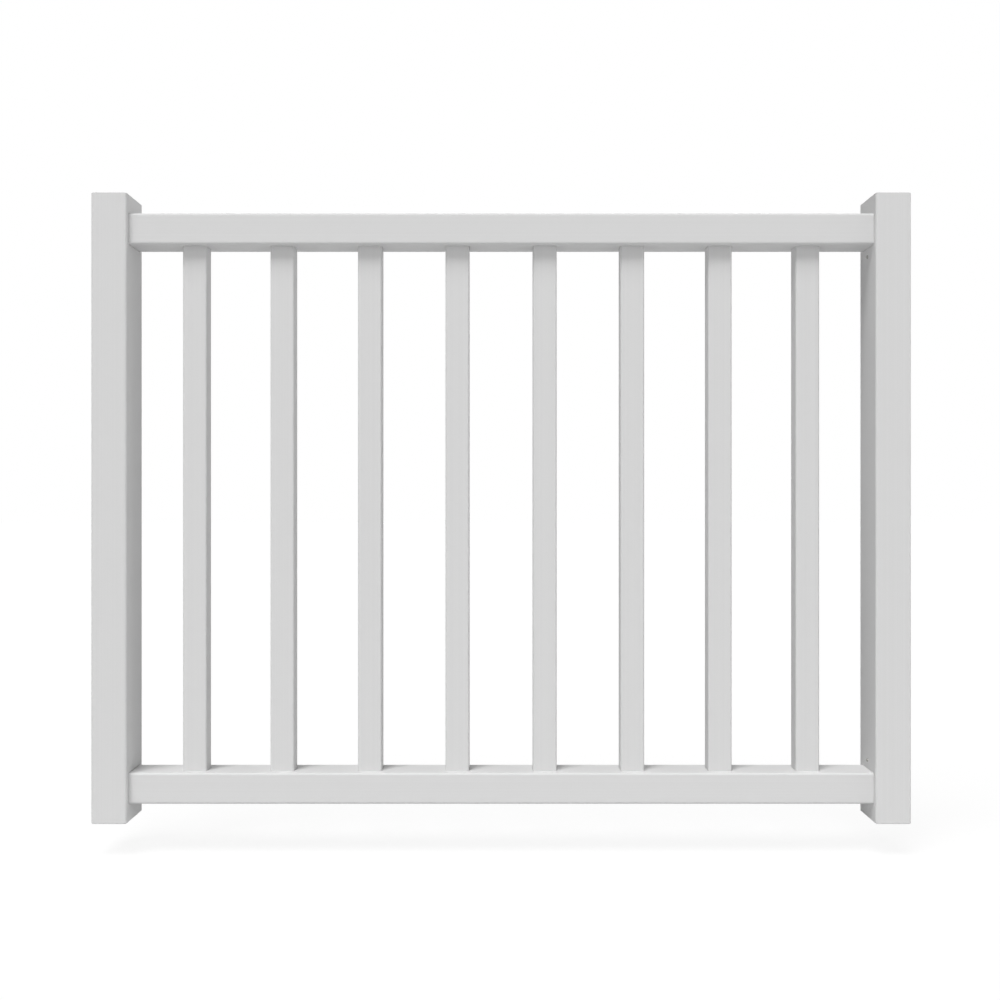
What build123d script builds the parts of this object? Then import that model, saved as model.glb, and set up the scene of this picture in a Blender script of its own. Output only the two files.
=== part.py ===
"""Vinyl railing gate: one leaf of hollow extrusions, at its real size in millimetres.

Two uprights carry a top and a bottom rail, whose ends pass through holes routed in the uprights' inner walls.
Square balusters stand in holes routed in the rails, and a flat plug cap closes each end of each upright.

The origin is the centre of the left upright's outer face. X runs across the leaf to the right upright,
-Y is the front, and Z is up.
"""
import os

from build123d import *

INCH = 25.4

# The leaf
gate_width = 46.75 * INCH
gate_height = 36.0 * INCH

# Uprights: deeper than wide, so that the rails stand back from their faces
upright_width = 51.6
upright_depth = 3.5 * INCH
upright_wall = 2.5
upright_corner = 3.6
top_projection = 27.8  # how far an upright runs on over the top rail, cap included
bottom_projection = 26.3  # and under the bottom rail

# Flat caps: a plate on the end of the tube and a skirt that plugs into it
cap_plate = 3.0
cap_edge = 1.0
cap_skirt_length = 15.0
cap_skirt_wall = 2.0
cap_clearance = 0.2

# Rails
rail_height = 45.4
rail_depth = 66.0
rail_wall = 2.3
rail_corner = 3.5
rail_clearance = 0.3  # round a rail in its routed hole
rail_end_gap = 5.0  # left at each end of a rail, because vinyl lengthens in the sun

# Balusters
baluster_count = 8
baluster_size = 1.375 * INCH
baluster_wall = 1.8
baluster_corner = 3.0
baluster_clearance = 0.25  # round a baluster in its routed hole
baluster_end_gap = 5.0  # left over a baluster, inside the top rail
end_gap = 75.2  # between an upright and the baluster next to it

# The least radius that an extrusion die leaves in an inside corner
least_inner_corner = 0.5

# Places worked out from the sizes above
left_upright_x = upright_width / 2
right_upright_x = gate_width - upright_width / 2
upright_tube_length = gate_height - 2 * cap_plate
top_rail_z = gate_height / 2 - top_projection - rail_height / 2
bottom_rail_z = -gate_height / 2 + bottom_projection + rail_height / 2
rail_length = gate_width - 2 * (upright_wall + rail_end_gap)
rail_bore_half = rail_height / 2 - rail_wall
baluster_foot = bottom_rail_z - rail_bore_half
baluster_head = top_rail_z + rail_bore_half - baluster_end_gap
first_baluster_x = upright_width + end_gap + baluster_size / 2
baluster_pitch = (gate_width - 2 * first_baluster_x) / (baluster_count - 1)
baluster_places = [first_baluster_x + index * baluster_pitch for index in range(baluster_count)]


def inner_corner(corner, wall):
    """Radius inside a corner of a tube, or of a piece that fits into one, a wall further in."""
    return max(corner - wall, least_inner_corner)


def tube_section(width, depth, corner, wall):
    """Hollow rectangle with rounded corners, centred on its plane."""
    outline = RectangleRounded(width, depth, corner)
    bore = RectangleRounded(width - 2 * wall, depth - 2 * wall, inner_corner(corner, wall))
    return outline - bore


def routed_hole(width, depth, corner, clearance, wall):
    """Cutter for a hole that takes a tube of this outline, centred in the wall that it goes through."""
    outline = RectangleRounded(width + 2 * clearance, depth + 2 * clearance, corner + clearance)
    return extrude(outline, wall, both=True)


def make_upright(centre_x, inward):
    """Tube between its caps, with its inner wall routed for both rails; inward is +1 or -1 along X."""
    section = tube_section(upright_width, upright_depth, upright_corner, upright_wall)
    upright = Pos(centre_x, 0, -upright_tube_length / 2) * extrude(section, upright_tube_length)
    hole = routed_hole(rail_depth, rail_height, rail_corner, rail_clearance, upright_wall)
    inner_wall_x = centre_x + inward * (upright_width - upright_wall) / 2
    for rail_z in (top_rail_z, bottom_rail_z):
        upright -= Pos(inner_wall_x, 0, rail_z) * (Plane.YZ * hole)
    return upright


def make_cap(centre_x, upward):
    """Flat cap for one end of an upright: the top end where upward is true, or else the bottom end."""
    plate = extrude(RectangleRounded(upright_width, upright_depth, upright_corner), cap_plate)
    plate = chamfer(plate.faces().sort_by(Axis.Z)[-1].edges(), cap_edge)
    inset = upright_wall + cap_clearance
    skirt = tube_section(
        upright_width - 2 * inset,
        upright_depth - 2 * inset,
        inner_corner(upright_corner, inset),
        cap_skirt_wall,
    )
    cap = plate + extrude(skirt, -cap_skirt_length)
    turn = 0 if upward else 180
    return Pos(centre_x, 0, 0) * Rot(turn, 0, 0) * Pos(0, 0, upright_tube_length / 2) * cap


def make_rail(centre_z, baluster_side):
    """Tube along X, with the wall on its baluster side (+1 above, -1 below) routed for each baluster."""
    section = tube_section(rail_depth, rail_height, rail_corner, rail_wall)
    rail = Pos(gate_width / 2, 0, centre_z) * (Plane.YZ * extrude(section, rail_length / 2, both=True))
    hole = routed_hole(baluster_size, baluster_size, baluster_corner, baluster_clearance, rail_wall)
    routed_wall_z = centre_z + baluster_side * (rail_height - rail_wall) / 2
    for baluster_x in baluster_places:
        rail -= Pos(baluster_x, 0, routed_wall_z) * hole
    return rail


def make_baluster(centre_x):
    """Tube that stands on the floor of the bottom rail and reaches up into the top rail."""
    section = tube_section(baluster_size, baluster_size, baluster_corner, baluster_wall)
    return Pos(centre_x, 0, baluster_foot) * extrude(section, baluster_head - baluster_foot)


def make_gate():
    """Every piece of the leaf, by name."""
    pieces = {
        "left_upright": make_upright(left_upright_x, inward=1),
        "right_upright": make_upright(right_upright_x, inward=-1),
        "left_upright_top_cap": make_cap(left_upright_x, upward=True),
        "left_upright_bottom_cap": make_cap(left_upright_x, upward=False),
        "right_upright_top_cap": make_cap(right_upright_x, upward=True),
        "right_upright_bottom_cap": make_cap(right_upright_x, upward=False),
        "top_rail": make_rail(top_rail_z, baluster_side=-1),
        "bottom_rail": make_rail(bottom_rail_z, baluster_side=1),
    }
    for number, baluster_x in enumerate(baluster_places, start=1):
        pieces[f"baluster_{number}"] = make_baluster(baluster_x)
    return pieces


os.makedirs("parts", exist_ok=True)
for name, piece in make_gate().items():
    export_step(piece, f"parts/{name}.step")
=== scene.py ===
"""Vinyl railing gate: the finish of each piece, the two joint screws, the light and the camera."""
import math

import bmesh
import bpy
from mathutils import Matrix, Vector


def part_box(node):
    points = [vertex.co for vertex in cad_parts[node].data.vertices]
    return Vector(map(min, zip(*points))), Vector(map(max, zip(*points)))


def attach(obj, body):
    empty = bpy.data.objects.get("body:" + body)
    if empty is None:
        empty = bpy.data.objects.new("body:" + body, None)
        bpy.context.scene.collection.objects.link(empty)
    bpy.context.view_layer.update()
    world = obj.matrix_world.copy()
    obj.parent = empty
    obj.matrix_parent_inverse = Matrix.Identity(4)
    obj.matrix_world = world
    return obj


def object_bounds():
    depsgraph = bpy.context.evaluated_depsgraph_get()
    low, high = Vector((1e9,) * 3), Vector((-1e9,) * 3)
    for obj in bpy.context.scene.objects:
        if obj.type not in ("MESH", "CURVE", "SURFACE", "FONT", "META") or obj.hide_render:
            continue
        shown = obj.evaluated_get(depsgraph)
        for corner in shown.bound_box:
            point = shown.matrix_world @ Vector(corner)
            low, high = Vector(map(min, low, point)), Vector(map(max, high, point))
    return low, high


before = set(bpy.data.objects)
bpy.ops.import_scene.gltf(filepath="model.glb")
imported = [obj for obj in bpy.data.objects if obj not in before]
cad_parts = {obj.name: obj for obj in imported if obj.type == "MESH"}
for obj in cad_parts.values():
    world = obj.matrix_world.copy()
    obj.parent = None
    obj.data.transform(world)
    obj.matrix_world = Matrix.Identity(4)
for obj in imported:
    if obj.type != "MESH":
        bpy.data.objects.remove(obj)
cad_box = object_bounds()
cad_centre = (cad_box[0] + cad_box[1]) / 2

MM = 0.001

# White PVC: the body colour, the shade of it where the skin is a little duller, and how rough the skin is
PROFILE_WHITE = "#DADADA"
PROFILE_SHADE = "#D4D4D4"
PROFILE_ROUGHNESS = {"To Min": 0.50, "To Max": 0.74}
CAP_WHITE = "#DADADA"
CAP_SHADE = "#D2D2D2"
CAP_ROUGHNESS = {"To Min": 0.62, "To Max": 0.76}
PVC_IOR = 1.53
PVC_SPECULAR = 0.2

# What the extrusion die and the cooling bath leave on a profile
DIE_LINE_SPACING = 3.0 * MM
DIE_LINE_RUN = 6000 * MM
DIE_LINE_HEIGHT = 0.012 * MM
WALL_WAVE_WIDTH = 30 * MM
WALL_WAVE_RUN = 600 * MM
WALL_WAVE_HEIGHT = 0.12 * MM

# What the spark-eroded mould leaves on a cap
SPARK_GRAIN = 0.9 * MM
SPARK_GRAIN_HEIGHT = 0.012 * MM

# Screws: pan heads with a cross recess, one beside each rail on the right upright's inner face
STEEL_GREY = "#B2B1AE"
STEEL_DARK = "#94938F"
STEEL_ROUGHNESS = {"To Min": 0.42, "To Max": 0.58}
FORMING_MARK = 0.5 * MM
HEAD_RADIUS = 2.6 * MM
HEAD_HEIGHT = 1.8 * MM
HEAD_RIM = 0.6 * MM
HEAD_FLAT_RADIUS = 1.7 * MM
HEAD_SEGMENTS = 24
HEAD_ARC_STEPS = 5
RECESS_ARMS = 4
RECESS_REACH = 1.5 * MM
RECESS_HALF_WIDTH = 0.38 * MM
RECESS_DEPTH = 1.0 * MM
RECESS_TAPER = 0.55
SHARP_EDGE = math.radians(35)
SCREW_FROM_RAIL = 13 * MM

# Floor and backdrop
PALE_FLOOR = "#DCDCDC"
SHADOW_GREY = "#616161"
PURE_WHITE = "#FFFFFF"
GROUND_CLEARANCE = 50 * MM
FLOOR_REACH = 30000 * MM
FLOOR_GLOW = 0.9

# Light: a high soft key from the front left, low fills from the front and both sides, and one from behind.
# Angles are in degrees. Only the key gives gloss, because low lamps would glare along the tops of the rails
LAMPS = {
    "key": {"azimuth": -23, "elevation": 60, "spread": 32, "strength": 2.68, "gloss": True},
    "left_fill": {"azimuth": -60, "elevation": 6, "spread": 60, "strength": 0.34, "gloss": False},
    "front_fill": {"azimuth": 0, "elevation": 3, "spread": 70, "strength": 0.8, "gloss": False},
    "right_fill": {"azimuth": 80, "elevation": 7, "spread": 60, "strength": 1.3, "gloss": False},
    "back_fill": {"azimuth": 180, "elevation": 2, "spread": 12, "strength": 1.8, "gloss": False},
}

# The camera looks straight at the leaf with a 50 mm lens on a 36 mm frame, a little off the leaf's middle
LENS_MM = 50.0
SENSOR_MM = 36.0
CAMERA_DISTANCE = 2009.5 * MM
CAMERA_RISE = 11.8 * MM
CAMERA_OFFSET = -1.6 * MM

# Sockets of a Mix node that blends two colours; its other sockets bear the same names
MIX_FIRST_COLOUR = 6
MIX_SECOND_COLOUR = 7
MIX_COLOUR = 2


def linear(colour):
    """An sRGB hex value as linear red, green, blue and alpha."""
    channels = [int(colour[place:place + 2], 16) / 255 for place in (1, 3, 5)]
    return [c / 12.92 if c <= 0.04045 else ((c + 0.055) / 1.055) ** 2.4 for c in channels] + [1.0]


def add(tree, kind, inputs=None, **settings):
    """Adds a node, sets its settings, and gives each named or numbered input a value or a link."""
    node = tree.nodes.new(kind)
    for name, value in settings.items():
        setattr(node, name, value)
    for name, value in (inputs or {}).items():
        if isinstance(value, bpy.types.NodeSocket):
            tree.links.new(value, node.inputs[name])
        else:
            node.inputs[name].default_value = value
    return node


def new_material(name):
    """A node material, its tree and its Principled shader."""
    material = bpy.data.materials.new(name)
    material.use_nodes = True
    return material, material.node_tree, material.node_tree.nodes["Principled BSDF"]


def new_pvc(name):
    """A material with the gloss of PVC, still without its colour."""
    material, tree, shader = new_material(name)
    shader.inputs["IOR"].default_value = PVC_IOR
    shader.inputs["Specular IOR Level"].default_value = PVC_SPECULAR
    return material, tree, shader


def grain(tree, size):
    """Noise from 0 to 1 whose cells measure size, one length for each axis of the object."""
    place = add(tree, "ShaderNodeTexCoord").outputs["Object"]
    scale = [1 / length for length in size]
    scaled = add(tree, "ShaderNodeMapping", {"Vector": place, "Scale": scale}).outputs[0]
    return add(tree, "ShaderNodeTexNoise", {"Vector": scaled, "Scale": 1.0}).outputs["Fac"]


def along(axis, run, across):
    """A length for each axis of the object: run along the named one and across on the other two."""
    return [run if name == axis else across for name in "XYZ"]


def vary(tree, shader, pattern, first, second, roughness):
    """Lets a pattern lead a shader from one colour to another and through a range of roughness."""
    colours = {"Factor": pattern, MIX_FIRST_COLOUR: linear(first), MIX_SECOND_COLOUR: linear(second)}
    colour = add(tree, "ShaderNodeMix", colours, data_type="RGBA").outputs[MIX_COLOUR]
    rough = add(tree, "ShaderNodeMapRange", {"Value": pattern, **roughness}).outputs[0]
    tree.links.new(colour, shader.inputs["Base Color"])
    tree.links.new(rough, shader.inputs["Roughness"])


def extruded_pvc(axis):
    """White PVC drawn through a die along one axis.

    The eye sees satin skin with faint lines along the profile and a slow wave in its walls. The lines are
    drawn wider apart than a die leaves them, so that they can show.
    """
    material, tree, shader = new_pvc(f"extruded_pvc_along_{axis.lower()}")
    lines = grain(tree, along(axis, DIE_LINE_RUN, DIE_LINE_SPACING))
    waves = grain(tree, along(axis, WALL_WAVE_RUN, WALL_WAVE_WIDTH))
    vary(tree, shader, lines, PROFILE_WHITE, PROFILE_SHADE, PROFILE_ROUGHNESS)
    wavy = add(tree, "ShaderNodeBump", {"Height": waves, "Distance": WALL_WAVE_HEIGHT}).outputs[0]
    line_bump = {"Height": lines, "Distance": DIE_LINE_HEIGHT, "Normal": wavy}
    lined = add(tree, "ShaderNodeBump", line_bump).outputs[0]
    tree.links.new(lined, shader.inputs["Normal"])
    return material


def moulded_pvc():
    """White PVC out of a spark-eroded mould: the same white, a little duller, with a fine even grain."""
    material, tree, shader = new_pvc("moulded_pvc")
    spark = grain(tree, [SPARK_GRAIN] * 3)
    vary(tree, shader, spark, CAP_WHITE, CAP_SHADE, CAP_ROUGHNESS)
    grained = add(tree, "ShaderNodeBump", {"Height": spark, "Distance": SPARK_GRAIN_HEIGHT}).outputs[0]
    tree.links.new(grained, shader.inputs["Normal"])
    return material


def stainless_steel():
    """Cold-headed stainless steel: grey, with soft reflections, darker where the forming left it rough."""
    material, tree, shader = new_material("cold_headed_stainless_steel")
    marks = grain(tree, [FORMING_MARK] * 3)
    vary(tree, shader, marks, STEEL_GREY, STEEL_DARK, STEEL_ROUGHNESS)
    shader.inputs["Metallic"].default_value = 1.0
    return material


def finish_nodes():
    """Gives each CAD node its vinyl: caps are moulded, rails run along X, and the rest stands along Z."""
    cap_vinyl = moulded_pvc()
    rail_vinyl = extruded_pvc("X")
    standing_vinyl = extruded_pvc("Z")
    for name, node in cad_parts.items():
        if "cap" in name:
            vinyl = cap_vinyl
        elif "rail" in name:
            vinyl = rail_vinyl
        else:
            vinyl = standing_vinyl
        node.data.materials.clear()
        node.data.materials.append(vinyl)


def new_object(name, shape, material):
    """Turns a bmesh into an object at the origin, in its material."""
    mesh = bpy.data.meshes.new(name)
    shape.to_mesh(mesh)
    shape.free()
    mesh.materials.append(material)
    made = bpy.data.objects.new(name, mesh)
    bpy.context.scene.collection.objects.link(made)
    return made


def ring(shape, radius, height):
    """Edges of a circle at a height."""
    place = Matrix.Translation((0, 0, height))
    made = bmesh.ops.create_circle(shape, segments=HEAD_SEGMENTS, radius=radius, matrix=place)
    return [edge for edge in shape.edges if all(vert in made["verts"] for vert in edge.verts)]


def cross_outline(shape, height):
    """Face in the shape of a cross: each arm gives its two ends and the corner before the next."""
    arm = [
        (RECESS_REACH, -RECESS_HALF_WIDTH),
        (RECESS_REACH, RECESS_HALF_WIDTH),
        (RECESS_HALF_WIDTH, RECESS_HALF_WIDTH),
    ]
    corners = []
    for number in range(RECESS_ARMS):
        turn = Matrix.Rotation(math.radians(360 * number / RECESS_ARMS), 3, "Z")
        corners += [shape.verts.new(turn @ Vector((x, y, height))) for x, y in arm]
    return shape.faces.new(corners)


def pan_head():
    """Screw head that stands on the XY plane, domed to a flat top with a tapered cross recess."""
    shape = bmesh.new()
    cross = cross_outline(shape, HEAD_HEIGHT)
    rings = []
    for step in range(HEAD_ARC_STEPS + 1):
        turn = math.radians(90 * step / HEAD_ARC_STEPS)
        radius = HEAD_FLAT_RADIUS + (HEAD_RADIUS - HEAD_FLAT_RADIUS) * math.sin(turn)
        height = HEAD_RIM + (HEAD_HEIGHT - HEAD_RIM) * math.cos(turn)
        rings.append(ring(shape, radius, height))
    rings.append(ring(shape, HEAD_RADIUS, 0))
    upper = list(cross.edges)
    for lower in rings:
        bmesh.ops.bridge_loops(shape, edges=upper + lower)
        upper = lower
    bmesh.ops.contextual_create(shape, geom=upper)
    sunk = bmesh.ops.extrude_discrete_faces(shape, faces=[cross])["faces"][0]
    bmesh.ops.translate(shape, verts=sunk.verts, vec=(0, 0, -RECESS_DEPTH))
    bmesh.ops.scale(shape, verts=sunk.verts, vec=(RECESS_TAPER, RECESS_TAPER, 1))
    return shape


def make_screw(name, seat, material):
    """Screw whose head stands on seat and looks to the left."""
    shape = pan_head()
    place = Matrix.Translation(seat) @ Matrix.Rotation(math.radians(-90), 4, "Y")
    bmesh.ops.transform(shape, verts=shape.verts, matrix=place)
    bmesh.ops.recalc_face_normals(shape, faces=shape.faces)
    for face in shape.faces:
        face.smooth = True
    screw = new_object(name, shape, material)
    screw.data.set_sharp_from_angle(angle=SHARP_EDGE)
    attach(screw, "root")


def add_screws():
    """A screw under the top rail and one over the bottom rail, on the right upright's inner face."""
    steel = stainless_steel()
    low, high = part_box("right_upright")
    middle_y = (low.y + high.y) / 2
    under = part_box("top_rail")[0].z - SCREW_FROM_RAIL
    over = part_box("bottom_rail")[1].z + SCREW_FROM_RAIL
    make_screw("top_screw", Vector((low.x, middle_y, under)), steel)
    make_screw("bottom_screw", Vector((low.x, middle_y, over)), steel)


def background_rays(tree):
    """1 for a ray that should see the white background: straight from the camera, or by gloss or glass."""
    paths = add(tree, "ShaderNodeLightPath").outputs
    direct = {0: paths["Is Camera Ray"], 1: paths["Is Glossy Ray"]}
    seen = add(tree, "ShaderNodeMath", direct, operation="MAXIMUM").outputs[0]
    either = {0: seen, 1: paths["Is Transmission Ray"]}
    return add(tree, "ShaderNodeMath", either, operation="MAXIMUM").outputs[0]


def matt_floor():
    """Matt pale floor that throws light up, and that the camera sees as white with a faint shadow."""
    material, tree, shader = new_material("matt_floor")
    matt = add(tree, "ShaderNodeBsdfDiffuse", {"Color": linear(PALE_FLOOR)}).outputs[0]
    shaded = add(tree, "ShaderNodeBsdfDiffuse", {"Color": linear(SHADOW_GREY)}).outputs[0]
    white_glow = {"Color": linear(PURE_WHITE), "Strength": FLOOR_GLOW}
    glow = add(tree, "ShaderNodeEmission", white_glow).outputs[0]
    shown = add(tree, "ShaderNodeAddShader", {0: shaded, 1: glow}).outputs[0]
    sides = {0: background_rays(tree), 1: matt, 2: shown}
    either = add(tree, "ShaderNodeMixShader", sides).outputs[0]
    tree.links.new(either, tree.nodes["Material Output"].inputs["Surface"])
    tree.nodes.remove(shader)
    return material


def make_floor():
    """Wide flat floor a little under the leaf, which hangs clear of the ground."""
    shape = bmesh.new()
    bmesh.ops.create_grid(shape, x_segments=1, y_segments=1, size=FLOOR_REACH)
    down = cad_box[0].z - GROUND_CLEARANCE
    bmesh.ops.translate(shape, verts=shape.verts, vec=(cad_centre.x, cad_centre.y, down))
    floor = new_object("floor", shape, matt_floor())


def make_backdrop():
    """White all round for the rays that see the background, and no light of its own on the leaf."""
    world = bpy.data.worlds.new("studio")
    bpy.context.scene.world = world
    world.use_nodes = True
    tree = world.node_tree
    tree.nodes.clear()
    white = {"Color": linear(PURE_WHITE), "Strength": background_rays(tree)}
    backdrop = add(tree, "ShaderNodeBackground", white).outputs[0]
    add(tree, "ShaderNodeOutputWorld", {"Surface": backdrop})


def add_lamp(name, azimuth, elevation, spread, strength, gloss):
    """Soft lamp far away: azimuth 0 is straight in front, and 90 is to the right."""
    around = math.radians(azimuth)
    up = math.radians(elevation)
    level = math.cos(up)
    towards = Vector((math.sin(around) * level, -math.cos(around) * level, math.sin(up)))
    data = bpy.data.lights.new(name, "SUN")
    data.angle = math.radians(spread)
    data.energy = strength
    lamp = bpy.data.objects.new(name, data)
    lamp.visible_glossy = gloss
    lamp.location = cad_centre + towards
    lamp.rotation_euler = towards.to_track_quat("Z", "Y").to_euler()
    bpy.context.scene.collection.objects.link(lamp)


def make_camera():
    """Camera in front of the leaf, level and square to it."""
    data = bpy.data.cameras.new("camera")
    data.lens = LENS_MM
    data.sensor_width = SENSOR_MM
    camera = bpy.data.objects.new("camera", data)
    camera.location = (
        cad_centre.x + CAMERA_OFFSET,
        cad_box[0].y - CAMERA_DISTANCE,
        cad_centre.z + CAMERA_RISE,
    )
    camera.rotation_euler = (math.radians(90), 0, 0)
    bpy.context.scene.collection.objects.link(camera)
    bpy.context.scene.camera = camera


finish_nodes()
add_screws()
make_floor()
make_backdrop()
for lamp_name, lamp_sizes in LAMPS.items():
    add_lamp(lamp_name, **lamp_sizes)
make_camera()
bpy.context.scene.view_settings.view_transform = "Standard"
